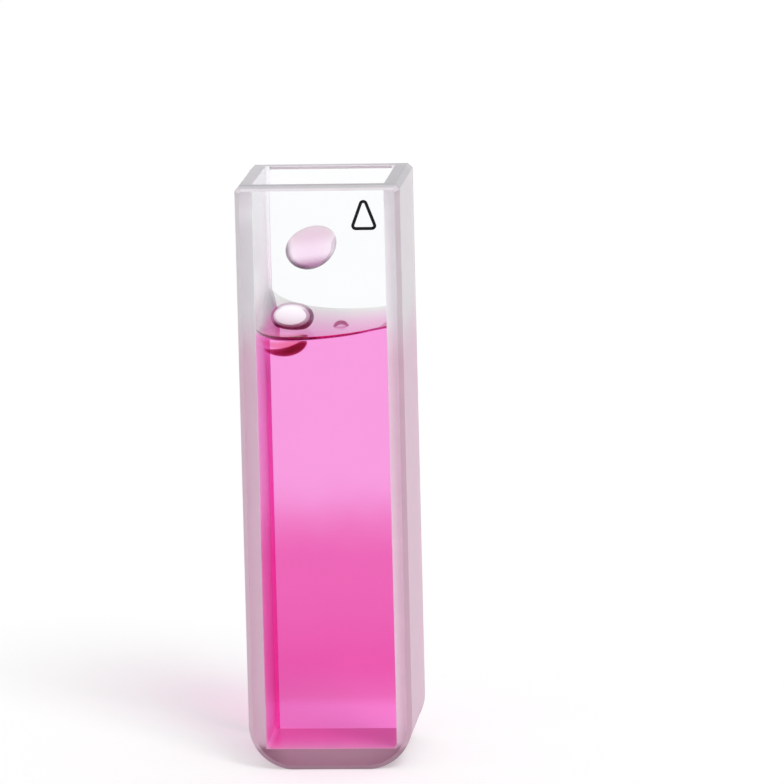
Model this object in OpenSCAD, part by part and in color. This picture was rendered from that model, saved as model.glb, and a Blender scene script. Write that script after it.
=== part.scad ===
// Square spectrometer cell: two polished windows fused to a ground U-shaped frame. It is part
// filled with a dyed liquid that carries one bubble, and one drop hangs on the back window.
// +X is the cell's right, -Y its front window and +Z up. The origin is the middle of its foot.

/* [Cell] */
// Light path, between the two windows' inner faces
light_path = 10; // [5:0.5:20]
// Width of the well, between the side walls
inner_w = 10; // [6:0.5:16]
// Height of the cell, foot to rim
cell_h = 45; // [30:0.5:60]
// Thickness of each polished window
window_t = 1.25; // [1:0.05:2]
// Thickness of each ground side wall
wall_t = 1.25; // [1:0.05:2]
// Thickness of the floor of the well
base_t = 1.5; // [1.2:0.1:3]

/* [Edges] */
// Radius of the two rounded bottom corners, seen from the front
corner_r = 3.5; // [1:0.1:4]
// Radius where the well's floor meets the side walls
floor_r = 0.4; // [0.2:0.1:0.8]
// Leg of the bevel ground on every outer edge
bevel = 0.35; // [0.1:0.05:0.6]
// Width of the seam between a window and the frame
seam = 0.01; // [0.005:0.005:0.03]

/* [Liquid] */
// Distance from the rim down to the liquid's lowest point
headspace = 12.6; // [11:0.1:25]
// How far the liquid climbs in the well's four corners
corner_climb = 2.1; // [0.5:0.1:3]
// Diameter of the bubble that floats in the surface
bubble_d = 3.4; // [1:0.1:4]
// Gap between the bubble and the left wall
bubble_side_gap = 0.5; // [0.1:0.1:1.5]
// Gap between the bubble and the back window
bubble_back_gap = 1.3; // [0.1:0.1:1.6]
// Height of the bubble's middle above the liquid's lowest point
bubble_lift = 0.4; // [0:0.1:0.8]

/* [Drop] */
// Length of the drop on the back window
drop_l = 3.9; // [2:0.1:5]
// Width of the drop, across its length
drop_w = 3; // [1:0.1:4]
// How far the drop stands off the window
drop_t = 1.4; // [0.5:0.1:2]
// Lean of the drop's long axis, up to the right
drop_lean = 20; // [0:5:90]
// Distance from the left wall to the drop's middle
drop_side = 3.3; // [2.6:0.1:3.6]
// Distance from the rim down to the drop's middle
drop_down = 6.3; // [4:0.1:7]

/* [Hidden] */

cell_w = inner_w + 2 * wall_t;         // outside, side to side
cell_d = light_path + 2 * window_t;    // outside, window to window
frame_d = light_path - 2 * seam;       // the frame, between its two seams
corner_x = cell_w / 2 - corner_r;      // middle of each rounded bottom corner

fill_h = cell_h - headspace;                          // the liquid's lowest surface point
liquid_top = fill_h + corner_climb;
well_reach = norm([inner_w, light_path]) / 2;         // middle of the well to its corners
surface_r = (well_reach ^ 2 + corner_climb ^ 2) / (2 * corner_climb);
bubble_x = -inner_w / 2 + bubble_side_gap + bubble_d / 2;
bubble_y = light_path / 2 - bubble_back_gap - bubble_d / 2;

overshoot = 1;     // how far a cutting shape runs past what it cuts
ROUND = 96;        // segments of a full round edge
SPHERE = 128;      // segments of a full sphere
DROP = 40;         // segments round the drop

frosted = [0.83, 0.79, 0.83, 0.85];
clear = [0.94, 0.95, 0.98, 0.35];
dyed = [0.98, 0.36, 0.76, 0.75];

// A flat outline, x across and y up, stood up as a plate of depth d with its front face at front.
module stand(front, d) {
    translate([0, front + d, 0]) rotate([90, 0, 0]) linear_extrude(height = d) children();
}

// The cell from the front: round bottom corners, and the side edges of the rim bevelled.
module cell_outline() {
    difference() {
        polygon([
            [-cell_w / 2, 0], [cell_w / 2, 0], [cell_w / 2, cell_h - bevel],
            [cell_w / 2 - bevel, cell_h], [-cell_w / 2 + bevel, cell_h], [-cell_w / 2, cell_h - bevel]
        ]);
        for (side = [-1, 1]) scale([side, 1]) translate([corner_x, 0]) difference() {
            translate([0, -overshoot]) square(corner_r + overshoot);
            translate([0, corner_r]) circle(r = corner_r, $fn = ROUND);
        }
    }
}

// The well from the front, up to a given height: straight walls, with a small fillet at the floor.
module well_outline(top) {
    for (side = [-1, 1]) translate([side * (inner_w / 2 - floor_r), base_t + floor_r])
        circle(r = floor_r, $fn = ROUND);
    translate([-inner_w / 2 + floor_r, base_t]) square([inner_w - 2 * floor_r, top - base_t]);
    translate([-inner_w / 2, base_t + floor_r]) square([inner_w, top - base_t - floor_r]);
}

// Section of the wedge that bevels an edge: x runs outwards past the edge, y out of the face.
module bevel_wedge() {
    polygon([[-bevel - overshoot, overshoot], [overshoot, -bevel - overshoot], [overshoot, overshoot]]);
}

// What the bevel takes off all round a plate whose outer face is the plane y = 0, facing -Y.
module bevel_cuts() {
    for (side = [-1, 1]) scale([side, 1, 1]) {
        translate([cell_w / 2, 0, corner_r]) linear_extrude(height = cell_h)
            mirror([0, 1]) bevel_wedge();
        translate([corner_x, 0, corner_r]) rotate([90, 0, 0])
            rotate_extrude(angle = -90, $fn = ROUND) translate([corner_r, 0]) bevel_wedge();
    }
    translate([-corner_x, 0, 0]) rotate([90, 0, 90]) linear_extrude(height = 2 * corner_x)
        mirror([1, 1]) bevel_wedge();
    translate([-cell_w, 0, cell_h]) rotate([90, 0, 90]) linear_extrude(height = 2 * cell_w)
        mirror([1, 0]) bevel_wedge();
}

// One polished window, its outer face at the cell's front.
module window_plate() {
    difference() {
        stand(-cell_d / 2, window_t) cell_outline();
        translate([0, -cell_d / 2, 0]) bevel_cuts();
    }
}

// Ground frame: both side walls and the floor in one piece, open at the rim and to the windows.
module cell_frame() {
    color(frosted) stand(-frame_d / 2, frame_d) difference() {
        cell_outline();
        well_outline(cell_h + overshoot);
    }
}

module front_window() {
    color(clear) window_plate();
}

module back_window() {
    color(clear) mirror([0, 1, 0]) window_plate();
}

// Dyed liquid: it fills the well, climbs the walls in a round hollow and is dented by the bubble.
module sample_liquid() {
    color(dyed) difference() {
        stand(-light_path / 2, light_path) well_outline(liquid_top + overshoot);
        translate([0, 0, fill_h + surface_r]) sphere(r = surface_r, $fn = SPHERE);
        translate([bubble_x, bubble_y, fill_h + bubble_lift]) sphere(d = bubble_d, $fn = SPHERE);
    }
}

// Drop of the same liquid, held on the back window's inner face.
module clinging_drop() {
    color(dyed) difference() {
        translate([drop_side - inner_w / 2, light_path / 2, cell_h - drop_down])
            rotate([0, -drop_lean, 0]) scale([drop_l / 2, drop_t, drop_w / 2])
                sphere(r = 1, $fn = DROP);
        translate([-inner_w / 2, light_path / 2, 0]) cube([inner_w, window_t + overshoot, cell_h]);
    }
}

cell_frame();
front_window();
back_window();
sample_liquid();
clinging_drop();
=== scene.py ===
import math

import bpy
import numpy as np
from bpy.props import FloatProperty, FloatVectorProperty, IntProperty, PointerProperty
from mathutils import Matrix, Vector


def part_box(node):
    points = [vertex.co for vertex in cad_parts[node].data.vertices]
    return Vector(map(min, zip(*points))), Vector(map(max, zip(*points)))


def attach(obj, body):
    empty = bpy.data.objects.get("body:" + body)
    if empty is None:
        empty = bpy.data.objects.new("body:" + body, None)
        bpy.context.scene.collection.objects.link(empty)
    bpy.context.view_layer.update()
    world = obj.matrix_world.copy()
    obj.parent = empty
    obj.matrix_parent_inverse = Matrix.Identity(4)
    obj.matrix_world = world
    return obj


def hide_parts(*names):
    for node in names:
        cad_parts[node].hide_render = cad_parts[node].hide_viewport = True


# Square spectrometer cell, part filled with a dyed liquid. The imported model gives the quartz
# frame and its two windows; this add-on finishes their surfaces and makes the rest: the ground
# edges of the windows, the liquid with its bubbles, the clinging drop and the printed mark.
# Lengths are metres. +X is the cell's right, -Y its front window, +Z up, origin at the foot.

bl_info = {
    "name": "Spectrometer Cell",
    "version": (1, 0, 0),
    "blender": (4, 5, 0),
    "location": "View3D > Sidebar > Cell",
    "description": "Finishes a square quartz cell and fills it with a dyed liquid",
    "category": "Add Mesh",
}

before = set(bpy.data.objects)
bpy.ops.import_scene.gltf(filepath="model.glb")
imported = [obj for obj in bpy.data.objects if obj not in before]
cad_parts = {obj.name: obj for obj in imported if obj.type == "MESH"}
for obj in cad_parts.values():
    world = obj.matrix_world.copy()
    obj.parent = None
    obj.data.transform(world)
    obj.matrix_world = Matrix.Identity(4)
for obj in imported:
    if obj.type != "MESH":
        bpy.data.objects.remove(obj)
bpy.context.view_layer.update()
MM = 0.001

CELL_LOW, CELL_HIGH = (np.array(corner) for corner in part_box("front_window"))
WELL_LOW, WELL_HIGH = (np.array(corner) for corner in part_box("sample_liquid"))
DROP_LOW, DROP_HIGH = (np.array(corner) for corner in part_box("clinging_drop"))
HALF_W = float(CELL_HIGH[0])
HALF_D = float(-CELL_LOW[1])
RIM_Z = float(CELL_HIGH[2])
WINDOW_T = float(CELL_HIGH[1] - CELL_LOW[1])
WELL_X = float(WELL_HIGH[0])
WELL_Y = float(WELL_HIGH[1])
WELL_Z = float(WELL_LOW[2])
CORNER_R = 3.5 * MM     # the two rounded bottom corners
FLOOR_R = 0.4 * MM      # where the well's floor meets the side walls
BEVEL = 0.35 * MM       # leg of the bevel on every outer edge
FUSED = 0.03 * MM       # how far a wet face reaches into the quartz, so that no air shows between


def length(name, default, low, high, description):
    """A length property. Its default and its limits are given in millimetres."""
    return FloatProperty(
        name=name, description=description, default=default * MM, min=low * MM, max=high * MM,
        subtype="DISTANCE", unit="LENGTH", precision=5,
    )


def number(name, default, low, high, description):
    """A plain number."""
    return FloatProperty(name=name, description=description, default=default, min=low, max=high)


def colour(name, default, description):
    """A colour property, linear red, green and blue."""
    return FloatVectorProperty(
        name=name, description=description, default=default, size=3, min=0.0, max=1.0,
        subtype="COLOR",
    )


def share(name, default, description):
    """A plain number from 0 to 1."""
    return FloatProperty(
        name=name, description=description, default=default, min=0.0, max=1.0, subtype="FACTOR",
    )


def degrees(name, default, description):
    """An angle property. Its default is given in degrees."""
    return FloatProperty(
        name=name, description=description, default=math.radians(default), subtype="ANGLE",
    )


class QuartzSettings(bpy.types.PropertyGroup):
    """Finish of the quartz, ground and polished."""

    ground: colour("Ground", (0.785, 0.74, 0.775), "Colour of the ground sides")
    # painted light: the wall ends are given a lighter colour than the sides
    ends: colour("Ends", (0.96, 0.92, 0.96), "Colour of the wall ends behind the front window")
    # painted light: the liquid's pink light, painted on the sides beside it
    flush: colour("Flush", (0.98, 0.74, 0.86), "What is left of the sides' colour beside liquid")
    # painted shade on the left wall's end
    left: colour("Left", (0.73, 0.735, 0.73), "What is left of the colour on the left wall's end")
    # painted shade: the rim's top and the bevels over the side walls are darker than the sides
    rim: colour("Rim", (0.68, 0.655, 0.69), "Colour of the more coarsely ground rim")
    # painted shade, darker still on the rim at the front and the right
    rim_shade: colour("Rim shade", (0.87, 0.87, 0.87), "What is left of the rim's colour at front and right")
    # painted light: the back window's bevel, seen from inside, is made nearly white
    lip: colour("Lip", (0.99, 0.99, 0.99), "Colour of the rim's bevels, seen from inside")
    # painted shade on the well's faces just above the liquid
    well_shade: colour("Well shade", (0.87, 0.97, 0.91), "What is left of the well's colour just above the liquid")
    # more painted shade towards the well's back
    back_shade: colour("Back shade", (0.74, 0.92, 0.84), "What is left of that towards the well's back")
    # painted shade on the well's floor
    bed: colour("Bed", (0.89, 0.76, 0.79), "What is left of the well's colour on its floor")
    # painted shade on the right-hand bevels
    edge: colour("Edge", (0.73, 0.66, 0.69), "What is left of the colour on the right-hand bevels")
    well: colour("Well", (0.97, 0.985, 1.0), "Colour of the smooth faces inside the well")
    # painted light: the liquid's pink light on the well's faces in it
    well_flush: colour("Well flush", (0.99, 0.66, 0.85), "What is left of the well's colour in liquid")
    clear: colour("Clear", (0.985, 0.99, 0.995), "Tint of the polished windows")
    # painted shade, pinkish, on the foot below the well
    foot: colour("Foot", (0.45, 0.31, 0.37), "What is left of the colour on the foot below the well")
    through: share("Through", 0.12, "How much light the ground quartz lets through")
    roughness: share("Roughness", 0.50, "Roughness of the ground faces")
    grain: length("Grain", 0.09, 0.01, 1.0, "Size of the grinding's grain")
    bead: length("Bead", 0.28, 0.05, 1, "Radius of the fused bead in the well's back corners")
    ior: number("IOR", 1.46, 1.0, 2.0, "Index of refraction of quartz")


class LiquidSettings(bpy.types.PropertyGroup):
    """Shape and dye of the liquid."""

    level: length("Level", 33.25, 5, 40, "Height of the calm middle of the surface")
    front_climb: length("Climb, front", 0.55, 0, 2, "How far the liquid climbs the front window")
    front_reach: length("Reach, front", 0.45, 0.05, 1, "How far that climb reaches")
    wall_climb: length("Climb, left", 1.12, 0, 2, "How far the liquid climbs the left wall")
    right_climb: length("Climb, right", 0.80, 0, 2, "How far the liquid climbs the right wall")
    right_reach: length("Reach, right", 2.0, 0.3, 3, "How far that climb reaches")
    steep_share: share("Steep share", 0.30, "Share of the walls' climb that is close to them")
    steep_reach: length("Steep reach", 0.35, 0.05, 1, "How far the steep share reaches from a wall")
    reach: length("Reach", 1.5, 0.3, 3, "How far the rest of the climb reaches")
    back_rise: length("Back rise", 0.48, -1, 1, "Rise of the surface at the back window")
    right_rise: length("Right rise", 0.17, -1, 1, "Rise of the surface at the right wall")
    warp: length("Warp", -0.26, -1, 1, "Extra rise at the back right and front left")
    corner_rise: length("Corner rise", 0.95, 0, 2, "Extra climb in the back left corner")
    corner_reach: length("Corner reach", 2.8, 0.3, 4, "How far the extra climb reaches from its corner")
    dye: colour("Dye", (0.99, 0.20, 0.795), "What the dye lets through")
    density: number("Density", 130.0, 0.0, 1000.0, "Strength of the dye, per metre")
    # painted shade: the liquid's upper surface is greyed
    skin: colour("Skin", (0.83, 0.97, 0.82), "What the liquid's upper surface leaves of the light")
    # painted shade: a deeper pink from half height down, lighter in a band over the floor
    lower_shade: colour("Lower shade", (0.885, 0.30, 0.58), "What the settled dye leaves of the light")
    brighter: colour("Brighter", (1.0, 0.47, 0.80), "What the clearer layer over the floor leaves")
    ior: number("IOR", 1.333, 1.0, 2.0, "Index of refraction of the liquid")
    steps: IntProperty(
        name="Steps", description="Steps across the surface, each way", default=210, min=20, max=300,
    )


class BubbleSettings(bpy.types.PropertyGroup):
    """The bubbles that float in the surface."""

    x: length("Across", -2.67, -5, 5, "Place of the large bubble, across")
    y: length("Along", -0.60, -5, 5, "Place of the large bubble, along the light path")
    z: length("Height", 34.29, 0, 50, "Height of the large bubble's middle")
    half_w: length("Half width", 1.40, 0.2, 2.0, "Half width of the large bubble")
    half_d: length("Depth, front", 0.32, 0.2, 2.0, "How far the large bubble bulges forwards")
    back_d: length("Depth, back", 1.20, 0.2, 2.0, "How far it bulges backwards")
    half_h: length("Half height", 0.90, 0.2, 2.0, "Half height of the large bubble")
    # painted highlight: the large bubble's film is made nearly white
    film: colour("Film", (0.99, 0.985, 1.0), "Colour of the large bubble's pearly film")
    # painted shade: a thick border of dense dye round the large bubble, lightest at its top, grey at
    # its sides and darkest at its bottom
    border: length("Border", 0.25, 0.05, 1, "Half thickness of the thick border round it")
    border_top: colour("Border, top", (0.86, 0.85, 0.88), "What the border's top leaves of light")
    border_side: colour("Border, sides", (0.40, 0.30, 0.38), "What the border's sides leave of it")
    border_foot: colour("Border, bottom", (0.24, 0.04, 0.10), "What the border's bottom leaves of it")
    border_density: number("Border density", 550.0, 0.0, 10000.0, "Strength of its dye, per metre")
    heavy: degrees("Heavy side", -55, "Where the border is thickest, from the right")
    small_x: length("Small, across", 1.05, -5, 5, "Place of the small bubble, across")
    small_y: length("Small, along", 0.00, -5, 5, "Place of the small bubble, along the light path")
    small_z: length("Small, height", 33.25, 0, 50, "Height of the small bubble's middle")
    small_w: length("Small, half width", 0.50, 0.1, 2.0, "Half width of the small bubble")
    small_h: length("Small, half height", 0.42, 0.1, 2.0, "Half height of the small bubble")
    small_border: length("Small border", 0.13, 0.02, 1, "Half thickness of the border round it")
    # painted shade: the dense dye of the small bubble's border and of the contact line
    ring: colour("Ring", (0.60, 0.01, 0.30), "What the dye in the small bubble's border lets through")
    ring_density: number("Ring density", 3700.0, 0.0, 10000.0, "Strength of that dye, per metre")
    # painted shade: a dense swirl of dye below the large bubble
    swirl: colour("Swirl", (0.74, 0.0, 0.38), "What the dense dye below the large bubble lets through")
    swirl_density: number("Swirl density", 5200.0, 0.0, 10000.0, "Strength of that dye, per metre")
    swirl_x: length("Swirl, across", -3.40, -5, 5, "Place of the dense swirl below the large bubble")
    swirl_y: length("Swirl, along", -2.0, -5, 5, "Place of that swirl along the light path")
    swirl_z: length("Swirl, height", 33.55, 0, 50, "Height of the middle that swirl bows round")
    swirl_w: length("Swirl, half width", 2.28, 0.2, 3, "Half width of the swirl's bow")
    swirl_h: length("Swirl, height of bow", 1.71, 0.1, 3, "How deep the swirl bows down")
    swirl_start: degrees("Swirl, start", 235, "Where the bow of the swirl starts, from the right")
    swirl_end: degrees("Swirl, end", 332, "Where it ends")
    swirl_t: length("Swirl, half thickness", 0.38, 0.05, 1, "Half thickness of the swirl")
    swirl_d: length("Swirl, half depth", 0.60, 0.05, 2, "Half depth of the swirl, along the light path")
    # painted shade: a thinner veil of dye above that swirl
    veil: colour("Veil", (0.89, 0.01, 0.05), "What the thinner dye above that swirl lets through")
    veil_density: number("Veil density", 600.0, 0.0, 10000.0, "Strength of that dye, per metre")
    veil_lift: length("Veil, lift", 0.53, 0, 2, "How far the thinner dye lies above the swirl")
    veil_start: degrees("Veil, start", 225, "Where the bow of the thinner dye starts, from the right")
    veil_end: degrees("Veil, end", 322, "Where it ends")
    veil_t: length("Veil, half thickness", 0.30, 0.05, 1, "Half thickness of the thinner dye")
    line_start: length("Line, start", -4.95, -5, 5, "Left end of the dark contact line")
    line_end: length("Line, end", 0.0, -5, 5, "Right end of the dark contact line")
    line_t: length("Line, half thickness", 0.12, 0.02, 1, "Half thickness of that line")
    line_d: length("Line, half depth", 0.02, 0.005, 1, "Half depth of that line, along the light path")
    # painted shade along the front window's contact line
    line: colour("Line", (0.37, 0.50, 0.32), "What that line leaves of the light")


class DropSettings(bpy.types.PropertyGroup):
    """The drop that clings to the back window."""

    long_way: length("Length", 4.12, 1, 6, "Length of the drop")
    short_way: length("Width", 3.2, 1, 6, "Width of the drop")
    depth: length("Depth", 1.4, 0.2, 3, "How far the drop stands off the window")
    lean: degrees("Lean", 26, "Lean of the long axis, up to the right")
    density: number("Density", 200.0, 0.0, 1000.0, "Strength of the dye, per metre")
    lift: length("Lift", 0.08, -1, 1, "How far it sits above its modelled place")
    # painted shade on the drop: its top, foot, left rim and lower right edge
    top: colour("Top", (0.86, 0.76, 0.80), "What the drop's upper part leaves of the light")
    foot: colour("Foot", (0.53, 0.31, 0.47), "What its foot leaves of the light")
    rim: colour("Rim", (0.30, 0.23, 0.30), "What its left rim leaves of the light")
    edge: colour("Edge", (0.60, 0.55, 0.60), "What the thin line along its lower right edge leaves")


class MarkSettings(bpy.types.PropertyGroup):
    """The small printed mark at the top of the front window."""

    width: length("Width", 1.9, 0.5, 5, "Width of the mark")
    height: length("Height", 2.3, 0.5, 5, "Height of the mark")
    stroke: length("Stroke", 0.24, 0.05, 1, "Width of the printed line")
    corner: length("Corner", 0.22, 0.05, 1, "Radius of the line's corners")
    from_side: length("From side", 2.73, 1, 6, "From the cell's right side to the mark's middle")
    from_rim: length("From rim", 2.22, 1, 6, "From the rim down to the mark's middle")
    ink: colour("Ink", (0.004, 0.004, 0.005), "Colour of the print")


class StageSettings(bpy.types.PropertyGroup):
    """Camera, light and floor."""

    turn: degrees("Turn", 5.20, "How far the camera stands round to the right")
    rise: degrees("Rise", 9.5, "How far the camera stands up from level")
    roll: degrees("Roll", -1.375, "How far the camera is rolled")
    distance: length("Distance", 600, 100, 2000, "Camera to the cell")
    shift_right: length("Shift right", 4.635, -50, 50, "Middle of the view, right of the cell's middle")
    shift_up: length("Shift up", 5.64, -50, 50, "Middle of the view, above the cell's middle")
    lens: number("Lens", 359.4, 20, 600, "Focal length in millimetres")
    floor: colour("Floor", (0.82, 0.82, 0.82), "Colour of the floor")
    floor_glow: share("Floor glow", 0.19, "Light added to what is seen of the floor")
    lamp_spread: degrees("Lamp spread", 22, "Angle that the lamp fills")
    lamp_strength: number("Lamp strength", 1.73, 0.0, 10.0, "Strength of the lamp")
    room: share("Room", 0.62, "Strength of the room's light on what stands in it")
    overhead: share("Overhead", 0.87, "How much darker the room is overhead, in reflections")


# --- Meshes -----------------------------------------------------------------------------------


def strips(rows, columns, around=False):
    """Four-sided faces of a grid of points stored row by row; around also joins the last row
    to the first."""
    index = np.arange(rows * columns).reshape(rows, columns)
    if around:
        index = np.vstack([index, index[:1]])
    a, b = index[:-1, :-1], index[:-1, 1:]
    d, c = index[1:, :-1], index[1:, 1:]
    return np.stack([a, b, c, d], axis=-1).reshape(-1, 4)


def ring_faces(rows, columns):
    """Four-sided faces of a closed ring: a grid of points stored row by row, whose last row joins
    the first and whose last column joins the first."""
    faces = strips(rows, columns + 1, around=True)
    row, column = np.divmod(faces, columns + 1)
    return row * columns + column % columns


def spindle_faces(rows, around):
    """Faces of a spindle: rows of points round it stored one after the other, and two points more,
    at its start and at its end."""
    index = np.arange(rows * around).reshape(rows, around)
    following = np.roll(index, -1, axis=1)
    sides = np.stack([index[:-1], following[:-1], following[1:], index[1:]], axis=-1)
    start = np.full(around, rows * around)
    faces = [*sides.reshape(-1, 4)]
    faces += [*np.column_stack([start, following[0], index[0]])]
    faces += [*np.column_stack([start + 1, index[-1], following[-1]])]
    return faces


def turn_outwards(mesh):
    """Points a closed mesh's faces outwards: if its volume comes out below zero, all are turned."""
    mesh.calc_loop_triangles()
    corners = np.empty(len(mesh.loop_triangles) * 3, np.int32)
    mesh.loop_triangles.foreach_get("vertices", corners)
    points = np.empty(len(mesh.vertices) * 3)
    mesh.vertices.foreach_get("co", points)
    points = points.reshape(-1, 3)
    a, b, c = points[corners.reshape(-1, 3)].transpose(1, 0, 2)
    volume = np.einsum("ij,ij->", a - points.mean(0), np.cross(b - a, c - a)) / 6
    if volume < 0:
        mesh.flip_normals()


ROUND = math.radians(80)    # for round pieces: only an edge sharper than this stays sharp


def mesh_piece(name, points, faces, material, sharp):
    """A closed piece from its points and faces, smooth except over edges sharper than sharp, with
    its faces outwards and riding on the cell."""
    mesh = bpy.data.meshes.new(name)
    mesh.from_pydata(points, [], [np.asarray(face).tolist() for face in faces])
    mesh.validate()
    mesh.shade_smooth()
    mesh.set_sharp_from_angle(angle=sharp)
    mesh.materials.append(material)
    turn_outwards(mesh)
    piece = bpy.data.objects.new(name, mesh)
    bpy.context.scene.collection.objects.link(piece)
    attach(piece, "root")
    return piece


def arc_corners(middles, radius, starts, sweep, steps):
    """An outline of round corners joined by straight lines: each corner is an arc of radius
    about its middle, from its start angle through sweep, drawn with steps points."""
    angles = np.asarray(starts)[:, None] + np.linspace(0.0, sweep, steps)[None, :]
    across = np.asarray(middles)[:, :1] + radius * np.cos(angles)
    up = np.asarray(middles)[:, 1:] + radius * np.sin(angles)
    return np.stack([across.ravel(), up.ravel()], axis=1)


def full_turn(steps):
    """Angles spread evenly round a circle, as a row."""
    return np.linspace(0, 2 * math.pi, steps, endpoint=False)[None, :]


def oval_section(middle, half, angle, turn, wide, deep):
    """Points of an oval section carried along an upright oval of the given half widths: wide is
    its half width square to the path and deep its half width along the light path."""
    normal = np.stack([half[1] * np.cos(angle), half[0] * np.sin(angle)])
    normal = normal / np.linalg.norm(normal, axis=0)
    lift = wide * np.cos(turn)
    x = middle[0] + half[0] * np.cos(angle) + normal[0] * lift
    y = middle[1] + deep * np.sin(turn)
    z = middle[2] + half[1] * np.sin(angle) + normal[1] * lift
    return np.stack([x, y, z], axis=-1).reshape(-1, 3)


# --- Materials --------------------------------------------------------------------------------


def fill(socket, value):
    """Fills an input: with another node's output, with a number or with a colour."""
    if isinstance(value, bpy.types.NodeSocket):
        socket.id_data.links.new(value, socket)
    elif socket.type == "RGBA" and len(value) == 3:
        socket.default_value = (*value, 1.0)
    else:
        socket.default_value = value


def add(where, kind, settings=None, **inputs):
    """A node of a kind, with its settings and its inputs, in a node tree or beside a socket of
    one. Spaces in an input's name are written as underscores."""
    node = where.id_data.nodes.new("ShaderNode" + kind)
    for key, value in (settings or {}).items():
        setattr(node, key, value)
    for key, value in inputs.items():
        fill(node.inputs[key.replace("_", " ")], value)
    return node


def new_material(name):
    """An empty node material: the material, its output and its Object coordinates."""
    material = bpy.data.materials.new(name)
    material.use_nodes = True
    tree = material.node_tree
    tree.nodes.clear()
    output = add(tree, "OutputMaterial")
    return material, output, add(tree, "TexCoord").outputs["Object"]


def parts(vector):
    """The three parts of a vector: across, along the light path and up."""
    return add(vector, "SeparateXYZ", Vector=vector).outputs[:]


def noise(place, size, **inputs):
    """A noise from 0 to 1 whose features are about size across."""
    return add(place, "TexNoise", Vector=place, Scale=1.0 / size, **inputs).outputs["Fac"]


def maths(operation, *values):
    """The output of a Math node. One of its values, at least, is another node's output."""
    known = next(value for value in values if isinstance(value, bpy.types.NodeSocket))
    node = add(known, "Math", {"operation": operation})
    for socket, value in zip(node.inputs, values):
        fill(socket, value)
    return node.outputs[0]


def times(product, *others):
    """The product of all the values."""
    for other in others:
        product = maths("MULTIPLY", product, other)
    return product


def scaled(value, factor, plus):
    """A value times a factor, plus a third."""
    return maths("MULTIPLY_ADD", value, factor, plus)


def step_up(value, low, high):
    """0 below low, 1 above high and smooth between."""
    smooth = {"interpolation_type": "SMOOTHSTEP"}
    return add(value, "MapRange", smooth, Value=value, From_Min=low, From_Max=high).outputs[0]


def step_down(value, low, high):
    """1 below low, 0 above high and smooth between."""
    return maths("SUBTRACT", 1.0, step_up(value, low, high))


def blend_colours(factor, first, second, kind="MIX"):
    """A colour between first and second, by a factor from 0 to 1."""
    node = add(factor, "Mix", {"data_type": "RGBA", "blend_type": kind})
    fill(node.inputs[0], factor)
    fill(node.inputs[6], first)
    fill(node.inputs[7], second)
    return node.outputs[2]


def tinted(body, factor, tint):
    """A colour times a tint, by a factor from 0 to 1."""
    return blend_colours(factor, body, tint, "MULTIPLY")


def dimmed(full, remaining):
    """A colour of which only a share remains."""
    return tuple(remaining * part for part in full)


def let_light_in(shader, rays=("Is Shadow Ray", "Is Diffuse Ray"), share_in=1.0):
    """Lets light from lamps and from other surfaces through unbent, so that what is inside is
    lit."""
    path = add(shader, "LightPath")
    for ray in rays:
        through = add(shader, "BsdfTransparent", Color=(share_in, share_in, share_in))
        mix = add(shader, "MixShader")
        for socket, value in zip(mix.inputs, (path.outputs[ray], shader, through.outputs[0])):
            fill(socket, value)
        shader = mix.outputs[0]
    return shader


def unbent(tint):
    """A surface that light goes straight on through, and that only tints it."""
    return add(
        tint, "BsdfPrincipled", Base_Color=tint, Roughness=0.0, IOR=1.0, Transmission_Weight=1.0,
    )


def join_dye(output, surface, dye, strength):
    """Finishes a dyed body: a surface that lets light in, round a volume that takes light out by
    its length."""
    volume = add(output.inputs[0], "VolumeAbsorption", Color=dye, Density=strength)
    fill(output.inputs["Surface"], let_light_in(surface.outputs[0]))
    fill(output.inputs["Volume"], volume.outputs[0])


def ground_sides(quartz, liquid_level, spot, endways):
    """Colour of the ground faces outside, with painted light and shade: lighter on the wall ends,
    warmer with the liquid's painted pink light beside it, and deeper with painted shade on the
    foot and on the left wall's end. endways is how squarely a face looks along the light path."""
    across, _, height = spot
    # painted light: the wall ends take the lighter colour of ends
    on_end = step_up(endways, 0.80, 0.95)
    body = blend_colours(on_end, quartz.ground, quartz.ends)
    # painted light: the liquid's pink light on the sides beside it
    beside_liquid = step_down(height, liquid_level - 2.0 * MM, liquid_level + 2.5 * MM)
    body = tinted(body, beside_liquid, quartz.flush)
    # painted shade on the foot below the well, less on its bevels
    at_foot = step_down(height, WELL_Z - 0.1 * MM, WELL_Z + 0.5 * MM)
    slanting = step_down(endways, 0.72, 0.90)
    less_on_bevels = scaled(slanting, -0.30, 1.0)
    body = tinted(body, times(at_foot, less_on_bevels), quartz.foot)
    # painted shade on the left wall's end, less towards the rim
    on_left = step_down(across, -5.2 * MM, -3.0 * MM)
    below_rim = step_down(height, RIM_Z - 4.0 * MM, RIM_Z - 1.0 * MM)
    less_at_rim = scaled(below_rim, 0.70, 0.30)
    return tinted(body, times(on_left, on_end, less_at_rim), quartz.left)


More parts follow.
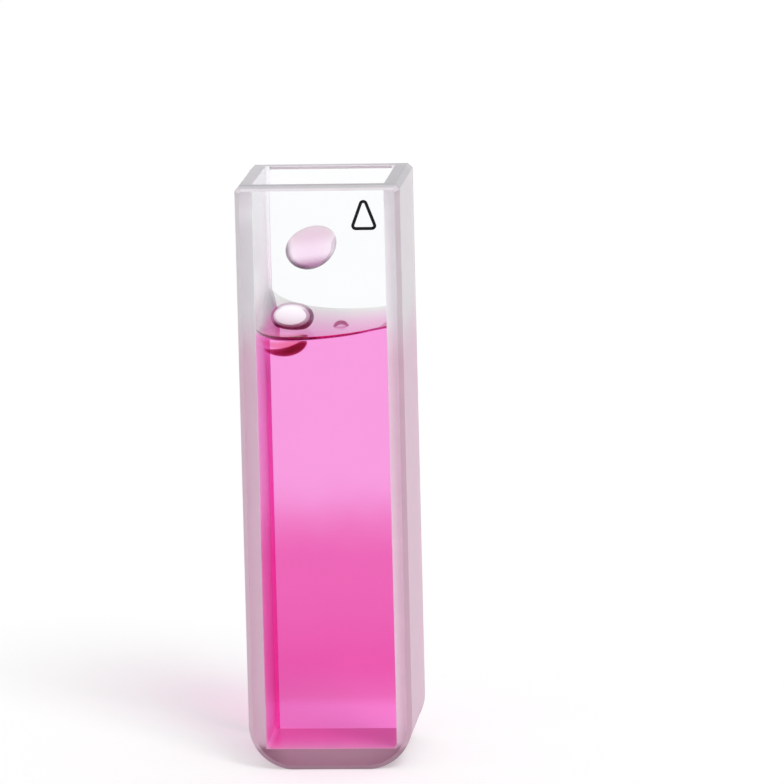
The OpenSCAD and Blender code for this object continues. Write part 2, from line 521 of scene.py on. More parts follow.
def ground_rim(quartz, body, spot, facing, endways):
    """Colour of the rim and of the bevels, laid over that of the sides: painted shade on the rim
    and on the right-hand bevels, and painted light on the back window's bevel seen from inside.
    """
    across, along, height = spot
    # the rim, in painted shade: its flat top, and the bevels over the side walls
    upward = step_up(facing[2], 0.60, 0.70)
    over_walls = step_down(endways, 0.2, 0.5)
    topmost = step_up(height, RIM_Z - 0.22 * MM, RIM_Z - 0.12 * MM)
    near_rim = step_up(height, RIM_Z - 1 * MM, RIM_Z - 0.5 * MM)
    sloped = times(upward, over_walls, near_rim)
    at_rim = maths("MAXIMUM", sloped, times(upward, topmost))
    to_right = step_up(across, 4.2 * MM, 5.2 * MM)
    to_front = step_down(along, -5.2 * MM, -4.8 * MM)
    # painted shade: the rim darker still at the right and the front, and the front near the rim half as
    # much
    rim = tinted(quartz.rim, maths("MAXIMUM", to_right, to_front), quartz.rim_shade)
    body = blend_colours(at_rim, body, rim)
    half_at_front = times(to_front, near_rim, 0.5)
    body = tinted(body, half_at_front, quartz.rim_shade)
    # the bevel of the back window, seen from inside through the window: painted light over the
    # shade it lies in
    underside = times(step_down(facing[2], -0.5, -0.3), near_rim)
    body = blend_colours(underside, body, quartz.lip)
    # painted shade on the right-hand upright bevels
    # upright bevels lie at 45 degrees, where the squares of a face's two level parts multiply
    # to a quarter
    squares = [maths("POWER", part, 2.0) for part in facing[:2]]
    bevelled = times(*squares, 4.0, step_up(across, 0.0, 3.0 * MM))
    return tinted(body, bevelled, quartz.edge)


def inside_well(spot):
    """1 on the faces of the frame that line the well and 0 on all others."""
    across, along, height = spot
    margin = 0.02 * MM
    seam = 0.002 * MM
    return times(
        maths("LESS_THAN", maths("ABSOLUTE", across), WELL_X + margin),
        maths("GREATER_THAN", height, WELL_Z - margin),
        maths("LESS_THAN", maths("ABSOLUTE", along), WELL_Y - seam),
    )


def well_faces(quartz, liquid_level, spot):
    """Colour of the faces inside the well: painted pink light in the liquid, painted shade just
    above it and more so towards the back, and painted shade deepening it on the floor."""
    _, along, height = spot
    # painted shade just above the liquid, more towards the back
    shaded_above_liquid = step_down(height, liquid_level + 0.6 * MM, liquid_level + 3.4 * MM)
    above = step_up(height, liquid_level - 0.6 * MM, liquid_level + 0.4 * MM)
    shaded_above_liquid = times(shaded_above_liquid, above)
    to_back = step_up(along, 0.0, 4.0 * MM)
    inside = tinted(quartz.well, shaded_above_liquid, quartz.well_shade)
    inside = tinted(inside, times(shaded_above_liquid, to_back), quartz.back_shade)
    # painted light: the liquid's pink light on the faces in it
    under_liquid = step_down(height, liquid_level - 0.6 * MM, liquid_level + 0.8 * MM)
    inside = tinted(inside, under_liquid, quartz.well_flush)
    # painted shade on the well's floor
    on_floor = step_down(height, WELL_Z + 0.05 * MM, WELL_Z + 0.3 * MM)
    return tinted(inside, on_floor, quartz.bed)


def ground_quartz(quartz, liquid_level):
    """Finely ground quartz: milky and grainy outside, paler and smoother inside the well. Painted
    shade makes it darker on the rim and the bevels, and painted pink light flushes it where
    liquid stands behind it."""
    material, output, place = new_material("Ground quartz")
    spot = parts(place)
    facing = parts(add(place, "NewGeometry").outputs["True Normal"])
    endways = maths("ABSOLUTE", facing[1])
    body = ground_sides(quartz, liquid_level, spot, endways)
    body = ground_rim(quartz, body, spot, facing, endways)
    in_well = inside_well(spot)
    body = blend_colours(in_well, body, well_faces(quartz, liquid_level, spot))
    grain = noise(place, quartz.grain, Detail=3.0, Roughness=0.6)
    cloud = noise(place, 1.6 * MM, Detail=4.0, Roughness=0.55)
    mottle = scaled(cloud, 0.10, 0.95)
    fleck = scaled(grain, 0.10, 0.95)
    shade = times(mottle, fleck)
    shaded = add(place, "VectorMath", {"operation": "SCALE"}, Vector=body, Scale=shade)
    unevenness = 0.16
    rough = scaled(grain, unevenness, quartz.roughness - unevenness / 2)
    smoother_inside = scaled(in_well, -0.25, rough)
    flatter_inside = scaled(in_well, -0.30, 0.35)
    bump = add(place, "Bump", Strength=flatter_inside, Distance=0.02 * MM, Height=grain)
    surface = add(
        place, "BsdfPrincipled", Base_Color=shaded.outputs[0], Roughness=smoother_inside,
        IOR=quartz.ior, Transmission_Weight=quartz.through, Normal=bump.outputs[0],
    )
    milky = let_light_in(surface.outputs[0], rays=("Is Shadow Ray",), share_in=0.7)
    fill(output.inputs["Surface"], milky)
    return material


def polished_quartz(quartz):
    """Optically polished quartz, clear but for the faintest cloudiness and waviness."""
    material, output, place = new_material("Polished quartz")
    cloud = noise(place, 4 * MM, Detail=2.0)
    tint = blend_colours(cloud, quartz.clear, dimmed(quartz.clear, 0.985))
    wave = noise(place, 6 * MM, Detail=1.0)
    bump = add(place, "Bump", Strength=0.02, Distance=0.01 * MM, Height=wave)
    faint_mirror = (0.12, 0.12, 0.12)
    glass = add(
        place, "BsdfPrincipled", Base_Color=tint, Roughness=0.0, IOR=quartz.ior,
        Transmission_Weight=1.0, Specular_Tint=faint_mirror, Normal=bump.outputs[0],
    )
    fill(output.inputs["Surface"], let_light_in(glass.outputs[0]))
    return material


def shade_body(name, dye, strength, tint):
    """Painted shade in the liquid, as denser dye: light goes straight on through it and only
    fades, by a tint of its surface and by its length."""
    material, output, place = new_material(name)
    cloud = noise(place, 0.5 * MM, Detail=2.0)
    fainter = (0.97 * tint[0], 0.93 * tint[1], 0.95 * tint[2])
    uneven = blend_colours(cloud, tint, fainter)
    join_dye(output, unbent(uneven), dye, strength)
    return material


def border_shade(bubbles):
    """Painted shade round the large bubble, as a thick border of dense dye: clear at its top and
    its upper left, grey at its right side and darkest along its bottom."""
    material, output, place = new_material("Border shade")
    across, _, height = parts(place)
    half_w, half_h = bubbles.half_w, bubbles.half_h
    cloud = noise(place, 0.5 * MM, Detail=2.0)
    uneven = scaled(cloud, 0.2 * MM, height)
    at_bottom = step_down(uneven, bubbles.z - 0.75 * half_h, bubbles.z - 0.1 * half_h)
    at_top = step_up(uneven, bubbles.z + 0.5 * half_h, bubbles.z + half_h)
    tint = blend_colours(at_bottom, bubbles.border_side, bubbles.border_foot)
    at_left = step_down(across, bubbles.x - 1.0 * half_w, bubbles.x - 0.3 * half_w)
    at_upper_left = times(at_left, scaled(at_bottom, -0.85, 0.85))
    tint = blend_colours(maths("MAXIMUM", at_top, at_upper_left), tint, bubbles.border_top)
    join_dye(output, unbent(tint), bubbles.ring, bubbles.border_density)
    return material


def highlight_film(bubbles, ior):
    """A bubble's film as a painted highlight: nearly white and a little glossy."""
    material, output, place = new_material("Highlight film")
    film_speckle = noise(place, 0.4 * MM, Detail=2.0)
    tint = blend_colours(film_speckle, bubbles.film, dimmed(bubbles.film, 0.98))
    film = add(
        place, "BsdfPrincipled", Base_Color=tint, Roughness=0.15, IOR=ior, Transmission_Weight=0.03,
    )
    fill(output.inputs["Surface"], film.outputs[0])
    return material


def painted_drop_shade(place, drop, middle, body):
    """Painted shade on a hanging drop: paler in the middle, deeper at its top, along its foot,
    round its left rim and along its lower right edge. The places are shares of the way from
    its middle to its edge."""
    centred = add(
        place, "Mapping", {"vector_type": "TEXTURE"}, Vector=place, Location=middle,
        Rotation=(0, -drop.lean, 0), Scale=(drop.long_way / 2, 1, drop.short_way / 2),
    )
    along, _, over = parts(centred.outputs[0])
    out = maths("ADD", maths("POWER", along, 2.0), maths("POWER", over, 2.0))
    # how far towards the top, the left and the lower right, from the drop's own two ways
    upright = scaled(along, 0.40, times(over, 0.92))
    to_left = scaled(along, -0.97, times(over, -0.20))
    below_right = scaled(along, 0.70, times(over, -0.71))
    body = tinted(body, step_up(upright, -0.05, 0.60), drop.top)
    body = tinted(body, step_down(upright, -0.82, -0.26), drop.foot)
    edge = times(step_up(out, 0.72, 0.82), step_up(below_right, 0.70, 0.84))
    body = tinted(body, edge, drop.edge)
    rim = times(step_up(out, 0.34, 0.74), step_up(to_left, 0.28, 0.72))
    return tinted(body, rim, drop.rim)


def painted_lower_shade(liquid, mingling, along, height, body):
    """Deepens a colour with painted shade on the lower liquid: most of it from half height down
    and the rest lower still, less again near the floor, and lighter in a band over the floor,
    deeper at the front."""
    uneven = scaled(mingling, 3.0 * MM, height)
    most = 0.86
    lower_shade = times(step_down(uneven, 17.5 * MM, 23.5 * MM), most)
    lower_shade = scaled(step_down(uneven, 8.0 * MM, 16.0 * MM), 1 - most, lower_shade)
    off_floor = step_up(height, WELL_Z + 1.5 * MM, WELL_Z + 5.5 * MM)
    left_near_floor = 0.64
    fading = scaled(off_floor, 1 - left_near_floor, left_near_floor)
    slope = 0.125
    sloping = scaled(along, slope, height)
    brighter = step_down(sloping, WELL_Z + 2.4 * MM, WELL_Z + 3.4 * MM)
    strong = blend_colours(brighter, liquid.lower_shade, liquid.brighter)
    return tinted(body, times(lower_shade, fading), strong)


def dyed_liquid(name, liquid, strength, drop=None, middle=None):
    """Dyed water: a clear surface round a volume that takes light out by its length. Its colour
    carries painted shade: deeper in the lower liquid, and grey on the upper surface or, on a
    drop, at its top, foot and rims.
    """
    material, output, place = new_material(name)
    _, along, height = parts(place)
    mingling = noise(place, 5 * MM, Detail=2.0, Distortion=0.6)
    clear, clouded = (1.0, 1.0, 1.0), (0.99, 0.975, 0.985)
    tint = blend_colours(mingling, clear, clouded)
    # painted shade deepens the lower liquid
    tint = painted_lower_shade(liquid, mingling, along, height, tint)
    if drop is None:
        _, _, upward = parts(add(place, "NewGeometry").outputs["True Normal"])
        # painted shade greys the liquid's upper surface
        tint = tinted(tint, step_up(upward, 0.4, 0.8), liquid.skin)
    else:
        # painted shade on the drop
        tint = painted_drop_shade(place, drop, middle, tint)
    no_mirror = (0.0, 0.0, 0.0)
    water = add(
        place, "BsdfPrincipled", Base_Color=tint, Roughness=0.0, IOR=liquid.ior,
        Transmission_Weight=1.0, Specular_Tint=no_mirror,
    )
    join_dye(output, water, liquid.dye, strength)
    return material


def fired_print(mark):
    """Thin black print: a little uneven in gloss and depth."""
    material, output, place = new_material("Fired print")
    speck = noise(place, 0.08 * MM, Detail=3.0)
    lighter = tuple(part + 0.006 for part in mark.ink)
    ink = blend_colours(speck, mark.ink, lighter)
    rough = scaled(speck, 0.2, 0.3)
    bump = add(place, "Bump", Strength=0.3, Distance=0.005 * MM, Height=speck)
    surface = add(
        place, "BsdfPrincipled", Base_Color=ink, Roughness=rough, IOR=1.5, Specular_IOR_Level=0.1,
        Normal=bump.outputs[0],
    )
    fill(output.inputs["Surface"], surface.outputs[0])
    return material


def pale_floor(stage):
    """A pale floor that keeps the object's shadow. What the camera, mirrors and glass see of it is
    lifted to the white of the background."""
    material, output, place = new_material("Pale floor")
    paper = noise(place, 30 * MM, Detail=3.0)
    tint = blend_colours(paper, stage.floor, dimmed(stage.floor, 0.99))
    path = add(place, "LightPath")
    seen = maths("MAXIMUM", path.outputs["Is Camera Ray"], path.outputs["Is Glossy Ray"])
    seen = maths("MAXIMUM", seen, path.outputs["Is Transmission Ray"])
    surface = add(
        place, "BsdfPrincipled", Base_Color=tint, Roughness=0.8, Emission_Color=(1, 1, 1),
        Emission_Strength=times(seen, stage.floor_glow), Specular_IOR_Level=0.0,
    )
    fill(output.inputs["Surface"], surface.outputs[0])
    return material


# --- Pieces -----------------------------------------------------------------------------------


def cell_outline(inset):
    """The cell seen from the front, moved in by inset: an arc on each round bottom corner, and a
    short bevel on each top corner, which is an arc of two points."""
    bottom_z = CORNER_R
    bottom_x = HALF_W - CORNER_R
    leg = BEVEL - inset * (2 - math.sqrt(2))    # a bevel at 45 degrees shortens as it moves in
    top_z = RIM_Z - inset - leg
    top_x = HALF_W - inset - leg
    right_angle = math.pi / 2
    bottom = arc_corners(
        [(-bottom_x, bottom_z), (bottom_x, bottom_z)], CORNER_R - inset,
        [2 * right_angle, 3 * right_angle], right_angle, steps=25,
    )
    top_middles = [(top_x, top_z), (-top_x, top_z)]
    top = arc_corners(top_middles, leg, [0.0, right_angle], right_angle, steps=2)
    return np.vstack([bottom, top])


def band_of_outlines(name, section, material, sharp):
    """A closed ring through outlines seen from the front, each with its own place along the light
    path: each is joined to the next, and the last to the first."""
    count = len(section[0][0])
    rings = [np.column_stack([loop[:, 0], np.full(count, y), loop[:, 1]]) for loop, y in section]
    points = np.stack(rings, axis=1).reshape(-1, 3)
    return mesh_piece(name, points, ring_faces(count, len(section)), material, sharp)


def ground_band(name, side, material):
    """The ground edge of a window, a thin skin: a closed section of bevel and side face, carried
    round the cell's outline. side is -1 at the front and 1 at the back."""
    out = 0.015 * MM        # how far the skin stands off the window
    deep = 0.03 * MM        # how far it reaches into it
    back_of_window = HALF_D - WINDOW_T
    # each corner of the section: its inset from the outline, and its distance from the middle
    corners = [
        (BEVEL, HALF_D + out), (-out, HALF_D - BEVEL + out), (-out, back_of_window),
        (deep, back_of_window), (deep, HALF_D - BEVEL - deep), (BEVEL, HALF_D - deep),
    ]
    section = [(cell_outline(inset), side * away) for inset, away in corners]
    piece = band_of_outlines(name, section, material, sharp=math.radians(30))


def fused_bead(radius, material):
    """The bead of quartz left by fusing the back window on: in each back corner of the well a
    hollow fillet, a corner and a quarter arc turned away from it, carried from floor to rim."""
    short_of_rim = 0.01 * MM
    low, high = WELL_Z - FUSED, RIM_Z - short_of_rim
    angles = np.linspace(0, math.pi / 2, 13)
    arc_x = WELL_X - radius + radius * np.cos(angles)
    arc_y = WELL_Y - radius + radius * np.sin(angles)
    section_x = np.concatenate([[WELL_X + FUSED], [WELL_X + FUSED], arc_x, [WELL_X - radius]])
    section_y = np.concatenate([[WELL_Y + FUSED], [WELL_Y - radius], arc_y, [WELL_Y + FUSED]])
    count = len(section_x)
    right = np.vstack([
        np.column_stack([section_x, section_y, np.full(count, height)]) for height in (low, high)
    ])
    lower = np.arange(count)
    following = np.roll(lower, -1)
    faces = [*np.column_stack([lower, following, following + count, lower + count])]
    faces += [lower[::-1], lower + count]
    points = np.vstack([right, right * (-1, 1, 1)])
    faces += [face[::-1] + len(right) for face in faces]
    piece = mesh_piece("fused_bead", points, faces, material, sharp=math.radians(40))


def climb(away, liquid):
    """Share of its climb that the surface still has at a distance from the left wall: a steep and a
    gentle part, each of which falls off exponentially."""
    away = np.maximum(away, 0)
    steep = liquid.steep_share * np.exp(-away / liquid.steep_reach)
    return steep + (1 - liquid.steep_share) * np.exp(-away / liquid.reach)


def liquid_height(x, y, liquid):
    """Height of the liquid's surface: the level, a gentle tilt and warp, a climb towards each wall
    that falls off exponentially, a little higher at the front's left end, and an extra climb in
    the back left corner that falls off likewise."""
    z = liquid.level + liquid.right_rise * x / WELL_X + liquid.back_rise * y / WELL_Y
    z = z + liquid.warp * x * y / (WELL_X * WELL_Y)
    z = z + liquid.wall_climb * climb(WELL_X + x, liquid)
    # the right wall's climb rounds off at the wall, over a share of its reach
    rounding = 0.4
    rounded = np.hypot(np.maximum(WELL_X - x, 0), rounding * liquid.right_reach)
    z = z + liquid.right_climb * np.exp(-rounded / liquid.right_reach)
    more_at_left = 0.25
    front_climb = liquid.front_climb * (1 - more_at_left * x / WELL_X)
    z = z + front_climb * np.exp(-np.maximum(WELL_Y + y, 0) / liquid.front_reach)
    from_corner = np.hypot(x + WELL_X, y - WELL_Y)
    z = z + liquid.corner_rise * np.exp(-from_corner / liquid.corner_reach)
    return z


def ball(half, middle, around=96, over=64):
    """Points and faces of a ball stretched to a half width each way: longitude by latitude, with
    a point at each pole."""
    turn = full_turn(around).T
    fall = np.linspace(0, math.pi, over + 1)[None, 1:-1]
    across = np.cos(turn) * np.sin(fall)
    along = np.sin(turn) * np.sin(fall)
    up = np.cos(fall) + 0 * turn
    grid = np.stack([across, along, up], axis=-1).reshape(-1, 3)
    points = np.vstack([grid, [[0, 0, 1], [0, 0, -1]]]) * np.array(half) + np.array(middle)
    first = np.arange(around) * (over - 1)
    following = np.roll(first, -1)
    top, bottom = np.full(around, len(grid)), np.full(around, len(grid) + 1)
    faces = [*strips(around, over - 1, around=True)]
    faces += [*np.column_stack([top, first, following])]
    faces += [*np.column_stack([bottom, following + over - 2, first + over - 2])]
    return points, faces


def bubble_highlight(bubbles, material):
    """The large bubble's film, seen from outside and nearly white as a painted highlight: a ball
    stretched to the bubble's half widths, its front half flatter than its back half."""
    points, faces = ball((bubbles.half_w, 1.0, bubbles.half_h), (bubbles.x, 0.0, bubbles.z))
    bulge = np.where(points[:, 1] < 0, bubbles.half_d, bubbles.back_d)
    points[:, 1] = bubbles.y + bulge * points[:, 1]
    piece = mesh_piece("bubble_highlight", points, faces, material, sharp=ROUND)


def bubble_border(name, middle, half, thick, heavy, material):
    """A thick border of painted shade round a bubble, as dense dye: a ring along an upright oval.
    Its section is an oval too, deeper than it is wide. It swells towards the heavy side and
    shrinks as much away from it, by the cosine of the angle."""
    around, section = 96, 24
    swelling = 0.36
    deeper = 1.3
    angle = full_turn(around).T
    wide = thick * (1 + swelling * np.cos(angle - heavy))
    points = oval_section(middle, half, angle, full_turn(section), wide, deeper * wide)
    piece = mesh_piece(name, points, ring_faces(around, section), material, sharp=ROUND)


def contact_line(liquid, bubbles, material):
    """Painted shade along the front window, left of the middle, as a dark line of dense dye: a thin
    body of oval section along the contact line, tapering to a point at both ends as the root of
    the sine of the way along."""
    along, around = 80, 16
    way = np.linspace(0, 1, along + 1)[:, None]
    turn = full_turn(around)
    taper = np.sqrt(np.maximum(np.sin(math.pi * way), 0))[1:-1]
    run = bubbles.line_start + (bubbles.line_end - bubbles.line_start) * way
    contact = liquid_height(run, np.full_like(run, -WELL_Y), liquid) - bubbles.line_t
    x = run[1:-1] + 0 * turn
    y = -WELL_Y + bubbles.line_d * taper * np.sin(turn)
    z = contact[1:-1] + bubbles.line_t * taper * np.cos(turn)
    grid = np.stack([x, y, z], axis=-1).reshape(-1, 3)
    ends = [[float(run[at, 0]), -WELL_Y, float(contact[at, 0])] for at in (0, -1)]
    points = np.vstack([grid, ends])
    faces = spindle_faces(along - 1, around)
    piece = mesh_piece("contact_line", points, faces, material, sharp=ROUND)


def bow_of_shade(name, middle, half, start, end, thick, deep, material):
    """A bow of painted shade, as denser dye: an oval section, thick across and deep along the
    light path, carried along an arc of an oval from start to end. It tapers to a point at both
    ends, faster at the end than at the start: a root of the sine of a power of the way along."""
    along, around = 64, 24
    lopsided, blunt = 1.6, 0.4      # the powers of the way along and of the sine
    way = np.linspace(0, 1, along + 1)[1:-1, None]
    taper = np.sin(math.pi * way**lopsided) ** blunt
    angle = start + (end - start) * way
    grid = oval_section(middle, half, angle, full_turn(around), thick * taper, deep * taper)
    ends = [
        [middle[0] + half[0] * math.cos(at), middle[1], middle[2] + half[1] * math.sin(at)]
        for at in (start, end)
    ]
    points = np.vstack([grid, ends])
    piece = mesh_piece(name, points, spindle_faces(along - 1, around), material, sharp=ROUND)


def sample_liquid(liquid, material):
    """The liquid: two sheets over one grid across the well, the surface above and the well's
    floor with its fillets below, joined by upright sides."""
    steps = np.linspace(-1, 1, liquid.steps + 1)
    crowding = 0.4      # share of the spacing that closes up towards the walls
    closer = (1 - crowding) * steps + crowding * np.sin(0.5 * math.pi * steps)
    xs = (WELL_X + FUSED) * closer
    ys = (WELL_Y + FUSED) * closer
    x, y = np.meshgrid(xs, ys, indexing="ij")
    top = np.stack([x, y, liquid_height(x, y, liquid)], axis=-1)
    fillet = FLOOR_R + FUSED
    past_flat = np.maximum(np.abs(xs) - (WELL_X - FLOOR_R), 0)
    floor_z = WELL_Z + FLOOR_R - np.sqrt(np.maximum(fillet**2 - past_flat**2, 0))
    front = np.column_stack([xs, np.full_like(xs, ys[0]), floor_z])
    back = np.column_stack([xs, np.full_like(xs, ys[-1]), floor_z])
    count = len(xs)
    points = np.vstack([top.reshape(-1, 3), front, back])
    index = np.arange(count * count).reshape(count, count)
    low_front = count * count + np.arange(count)
    low_back = low_front + count
    faces = [*strips(count, count)[:, ::-1]]
    faces += [*np.column_stack([index[:-1, 0], low_front[:-1], low_front[1:], index[1:, 0]])]
    faces += [*np.column_stack([index[1:, -1], low_back[1:], low_back[:-1], index[:-1, -1]])]
    faces += [*np.column_stack([low_front[:-1], low_back[:-1], low_back[1:], low_front[1:]])]
    faces.append(np.concatenate([[low_front[0]], index[0, :], [low_back[0]]]))
    faces.append(np.concatenate([[low_back[-1]], index[-1, ::-1], [low_front[-1]]]))
    piece = mesh_piece("dyed_sample", points, faces, material, sharp=math.radians(35))
    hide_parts("sample_liquid")


def drop_middle(drop):
    """Middle of the drop: that of its modelled place, a little higher."""
    return 0.5 * (DROP_LOW + DROP_HIGH) + np.array([0, 0, drop.lift])


def clinging_drop(drop, material):
    """The drop on the back window: an oval whose depth falls from its middle to its edge as that
    of a ball, closed by a flat back. It is a little longer at its right end, and a little lower
    and fuller at its foot, each by a share of the way there."""
    around, out = 128, 48
    longer, lower, fuller = 0.05, 0.06, 0.12
    turn = full_turn(around).T
    reach = np.sin(np.linspace(0, 0.5 * math.pi, out + 1))[None, 1:]
    along = reach * np.cos(turn) * (1 + longer * np.cos(turn))
    over = reach * np.sin(turn) * (1 - lower * np.sin(turn))
    depth = drop.depth * np.sqrt(np.maximum(1 - reach**2, 0)) * (1 - fuller * over)
    middle = drop_middle(drop)
    cos, sin = math.cos(drop.lean), math.sin(drop.lean)
    a, b = along * drop.long_way / 2, over * drop.short_way / 2
    x = middle[0] + a * cos - b * sin
    z = middle[2] + a * sin + b * cos
    wall = float(DROP_HIGH[1])
    grid = np.stack([x, wall - depth, z], axis=-1)
    rim = np.column_stack([x[:, -1], np.full(around, wall + FUSED), z[:, -1]])
    tip = [[middle[0], wall - drop.depth, middle[2]], [middle[0], wall + FUSED, middle[2]]]
    points = np.vstack([grid.reshape(-1, 3), rim, tip])
    index = np.arange(around * out).reshape(around, out)
    rim_index = around * out + np.arange(around)
    front_tip, back_tip = len(points) - 2, len(points) - 1
    following = np.roll(np.arange(around), -1)
    faces = [*strips(around, out, around=True)]
    faces += [*np.column_stack([np.full(around, front_tip), index[:, 0], index[following, 0]])]
    edge, next_edge = index[:, -1], index[following, -1]
    faces += [*np.column_stack([edge, rim_index, rim_index[following], next_edge])]
    faces += [*np.column_stack([np.full(around, back_tip), rim_index[following], rim_index])]
    piece = mesh_piece("dyed_drop", points, faces, material, sharp=ROUND)
    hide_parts("clinging_drop")


def printed_mark(mark, material):
    """A triangle drawn in line: two outlines with the same corner middles, whose radii are half a
    stroke more and half a stroke less than the corner's, raised off the window by the thickness
    of the print and sunk a little into it."""
    reach = mark.corner + mark.stroke / 2
    middle_x = HALF_W - mark.from_side
    middle_z = RIM_Z - mark.from_rim
    half = mark.width / 2 - reach
    low, high = middle_z - mark.height / 2 + reach, middle_z + mark.height / 2 - reach
    middles = [(middle_x + half, low), (middle_x, high), (middle_x - half, low)]
    slope = math.atan2(high - low, half)
    # each corner's arc starts square to the side that comes before it
    starts = [-math.pi / 2, math.pi / 2 - slope, math.pi / 2 + slope]
    sweeps = [math.pi - slope, 2 * slope, math.pi - slope]
    outer, inner = (
        np.vstack([
            arc_corners([place], radius, [start], sweep, steps=13)
            for place, start, sweep in zip(middles, starts, sweeps)
        ])
        for radius in (mark.corner + mark.stroke / 2, mark.corner - mark.stroke / 2)
    )
    raised, sunk = 0.012 * MM, 0.004 * MM
    face, under = -HALF_D - raised, -HALF_D + sunk
    section = [(outer, face), (inner, face), (inner, under), (outer, under)]
    piece = band_of_outlines("printed_mark", section, material, sharp=math.radians(40))


# --- Stage ------------------------------------------------------------------------------------


def place_camera(stage):
    """A long lens on the front window, turned, raised and rolled. The camera looks along its own
    -Z at a point beside the cell's middle."""
    back = Vector((
        math.sin(stage.turn) * math.cos(stage.rise),
        -math.cos(stage.turn) * math.cos(stage.rise),
        math.sin(stage.rise),
    ))
    level_right = Vector((0, 0, 1)).cross(back).normalized()
    level_up = back.cross(level_right)
    right = math.cos(stage.roll) * level_right + math.sin(stage.roll) * level_up
    up = math.cos(stage.roll) * level_up - math.sin(stage.roll) * level_right
    middle = Vector((0, 0, RIM_Z / 2))
    target = middle + stage.shift_right * right + stage.shift_up * up
    lens = bpy.data.cameras.new("Camera")
    lens.lens = stage.lens
    lens.sensor_width = 36.0
    lens.clip_start = 0.01
    lens.clip_end = 10.0
    camera = bpy.data.objects.new("Camera", lens)
    bpy.context.scene.collection.objects.link(camera)
    turned = Matrix((right, up, back)).transposed().to_4x4()
    camera.matrix_world = Matrix.Translation(target + stage.distance * back) @ turned
    bpy.context.scene.camera = camera


def soft_lamp(name, towards, spread, strength):
    """A far, broad lamp that shines evenly all over: its light comes from towards, and spread is
    the angle that it fills."""
    lamp = bpy.data.lights.new(name, "SUN")
    lamp.angle = spread
    lamp.energy = strength
    holder = bpy.data.objects.new(name, lamp)
    bpy.context.scene.collection.objects.link(holder)
    holder.location = Vector(towards)
    holder.rotation_euler = Vector(towards).to_track_quat("Z", "Y").to_euler()


def room_light(stage):
    """Even light from all round. The camera sees it white; mirrors and glass see it white at the
    height of the cell and darker overhead."""
    world = bpy.data.worlds.new("Room")
    world.use_nodes = True
    tree = world.node_tree
    tree.nodes.clear()
    output = add(tree, "OutputWorld")
    _, _, upward = parts(add(tree, "TexCoord").outputs["Generated"])
    steepness = maths("ABSOLUTE", upward)
    dimmer = scaled(step_up(steepness, 0.0, 0.65), -stage.overhead, 1.0)
    path = add(tree, "LightPath")
    seen = maths("MAXIMUM", path.outputs["Is Glossy Ray"], path.outputs["Is Transmission Ray"])
    even = scaled(path.outputs["Is Camera Ray"], 1 - stage.room, stage.room)
    gap = maths("SUBTRACT", dimmer, even)
    room = add(tree, "Background", Color=(1, 1, 1), Strength=scaled(seen, gap, even))
    fill(output.inputs["Surface"], room.outputs[0])
    bpy.context.scene.world = world


def pale_floor_piece(material):
    """A wide round floor: one flat face, whose edge is a circle about the cell."""
    corners, radius = 64, 2.5
    turn = full_turn(corners)[0]
    rim = np.column_stack([radius * np.cos(turn), radius * np.sin(turn), np.zeros(corners)])
    mesh = bpy.data.meshes.new("floor")
    mesh.from_pydata(rim, [], [list(range(corners))])
    mesh.materials.append(material)
    floor = bpy.data.objects.new("floor", mesh)
    bpy.context.scene.collection.objects.link(floor)


# --- Operators --------------------------------------------------------------------------------


class CELL_OT_finish_quartz(bpy.types.Operator):
    """Finish the frame and both windows, and give each window its ground edge"""

    bl_idname = "cell.finish_quartz"
    bl_label = "Finish Quartz"

    def execute(self, context):
        settings = context.scene.cell_quartz
        ground = ground_quartz(settings, context.scene.cell_liquid.level)
        clear = polished_quartz(settings)
        for node, material in (("cell_frame", ground), ("front_window", clear), ("back_window", clear)):
            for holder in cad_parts[node].material_slots:
                holder.material = material
        ground_band("front_window_ground_edge", -1, ground)
        ground_band("back_window_ground_edge", 1, ground)
        fused_bead(settings.bead, ground)
        return {"FINISHED"}


class CELL_OT_pour_sample(bpy.types.Operator):
    """Fill the well with dyed liquid"""

    bl_idname = "cell.pour_sample"
    bl_label = "Pour Sample"

    def execute(self, context):
        liquid = context.scene.cell_liquid
        sample_liquid(liquid, dyed_liquid("Dyed liquid", liquid, liquid.density))
        return {"FINISHED"}


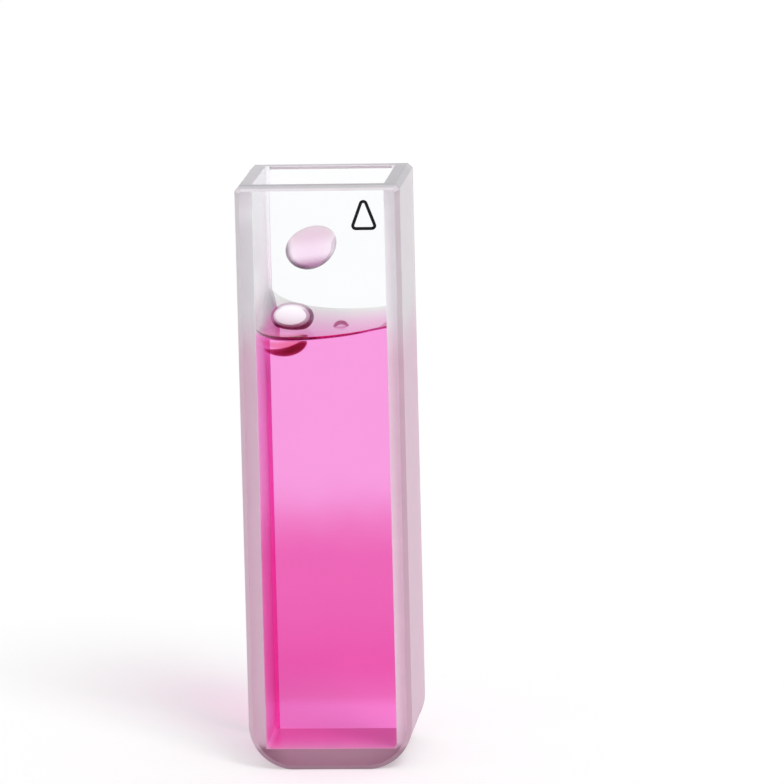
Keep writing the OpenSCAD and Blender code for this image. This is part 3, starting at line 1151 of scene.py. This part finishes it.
class CELL_OT_float_bubbles(bpy.types.Operator):
    """Float both bubbles, the large one with a painted highlight, and lay painted shade as dense
    dye round them, below the large one and along the contact line
    """

    bl_idname = "cell.float_bubbles"
    bl_label = "Float Bubbles"

    def execute(self, context):
        bubbles = context.scene.cell_bubbles
        liquid = context.scene.cell_liquid
        clear = (1.0, 1.0, 1.0)
        upwards = math.radians(90)
        bubble_highlight(bubbles, highlight_film(bubbles, liquid.ior))
        # painted shade: dense dye for the small bubble's border
        ring_shade = shade_body("Ring shade", bubbles.ring, bubbles.ring_density, clear)
        bubble_border(
            "bubble_border", (bubbles.x, bubbles.y, bubbles.z), (bubbles.half_w, bubbles.half_h),
            bubbles.border, bubbles.heavy, border_shade(bubbles),
        )
        bubble_border(
            "small_bubble_border", (bubbles.small_x, bubbles.small_y, bubbles.small_z),
            (bubbles.small_w, bubbles.small_h), bubbles.small_border, upwards, ring_shade,
        )
        bow_of_shade(
            "shade_swirl", (bubbles.swirl_x, bubbles.swirl_y, bubbles.swirl_z),
            (bubbles.swirl_w, bubbles.swirl_h), bubbles.swirl_start, bubbles.swirl_end,
            bubbles.swirl_t, bubbles.swirl_d,
            shade_body("Swirl shade", bubbles.swirl, bubbles.swirl_density, clear),
        )
        bow_of_shade(
            "shade_veil", (bubbles.swirl_x, bubbles.swirl_y, bubbles.swirl_z + bubbles.veil_lift),
            (bubbles.swirl_w, bubbles.swirl_h), bubbles.veil_start, bubbles.veil_end,
            bubbles.veil_t, bubbles.swirl_d,
            shade_body("Veil shade", bubbles.veil, bubbles.veil_density, clear),
        )
        line_shade = shade_body("Line shade", bubbles.ring, bubbles.ring_density, tuple(bubbles.line))
        contact_line(liquid, bubbles, line_shade)
        return {"FINISHED"}


class CELL_OT_hang_drop(bpy.types.Operator):
    """Hang a drop of the liquid on the back window"""

    bl_idname = "cell.hang_drop"
    bl_label = "Hang Drop"

    def execute(self, context):
        drop = context.scene.cell_drop
        liquid = context.scene.cell_liquid
        material = dyed_liquid("Dyed drop", liquid, drop.density, drop, drop_middle(drop))
        clinging_drop(drop, material)
        return {"FINISHED"}


class CELL_OT_print_mark(bpy.types.Operator):
    """Print a plain triangle at the top of the front window"""

    bl_idname = "cell.print_mark"
    bl_label = "Print Mark"

    def execute(self, context):
        mark = context.scene.cell_mark
        printed_mark(mark, fired_print(mark))
        return {"FINISHED"}


class CELL_OT_set_stage(bpy.types.Operator):
    """Set the camera, the lamps, the room's light and the floor"""

    bl_idname = "cell.set_stage"
    bl_label = "Set Stage"

    def execute(self, context):
        stage = context.scene.cell_stage
        context.scene.view_settings.view_transform = "Standard"
        place_camera(stage)
        room_light(stage)
        from_upper_right = (0.84, -1.49, 1.68)
        soft_lamp("Key lamp", from_upper_right, stage.lamp_spread, stage.lamp_strength)
        pale_floor_piece(pale_floor(stage))
        return {"FINISHED"}


class CELL_PT_sidebar(bpy.types.Panel):
    """Buttons and sizes of the cell"""

    bl_label = "Spectrometer Cell"
    bl_idname = "CELL_PT_sidebar"
    bl_space_type = "VIEW_3D"
    bl_region_type = "UI"
    bl_category = "Cell"

    def draw(self, context):
        for operator, group in STEPS:
            box = self.layout.box()
            box.operator(operator.bl_idname)
            settings = getattr(context.scene, group)
            for name in settings.__annotations__:
                box.prop(settings, name)


GROUPS = {
    "cell_quartz": QuartzSettings,
    "cell_liquid": LiquidSettings,
    "cell_bubbles": BubbleSettings,
    "cell_drop": DropSettings,
    "cell_mark": MarkSettings,
    "cell_stage": StageSettings,
}
STEPS = (
    (CELL_OT_set_stage, "cell_stage"),
    (CELL_OT_finish_quartz, "cell_quartz"),
    (CELL_OT_pour_sample, "cell_liquid"),
    (CELL_OT_float_bubbles, "cell_bubbles"),
    (CELL_OT_hang_drop, "cell_drop"),
    (CELL_OT_print_mark, "cell_mark"),
)


def register():
    """Register the settings, the operators and the panel."""
    for name, group in GROUPS.items():
        bpy.utils.register_class(group)
        setattr(bpy.types.Scene, name, PointerProperty(type=group))
    for operator, _ in STEPS:
        bpy.utils.register_class(operator)
    bpy.utils.register_class(CELL_PT_sidebar)


def unregister():
    """Undo register."""
    bpy.utils.unregister_class(CELL_PT_sidebar)
    for operator, _ in reversed(STEPS):
        bpy.utils.unregister_class(operator)
    for name, group in reversed(GROUPS.items()):
        delattr(bpy.types.Scene, name)
        bpy.utils.unregister_class(group)


def main():
    """Make the whole cell."""
    register()
    bpy.ops.cell.set_stage()
    bpy.ops.cell.finish_quartz()
    bpy.ops.cell.pour_sample()
    bpy.ops.cell.float_bubbles()
    bpy.ops.cell.hang_drop()
    bpy.ops.cell.print_mark()


if __name__ == "__main__":
    main()
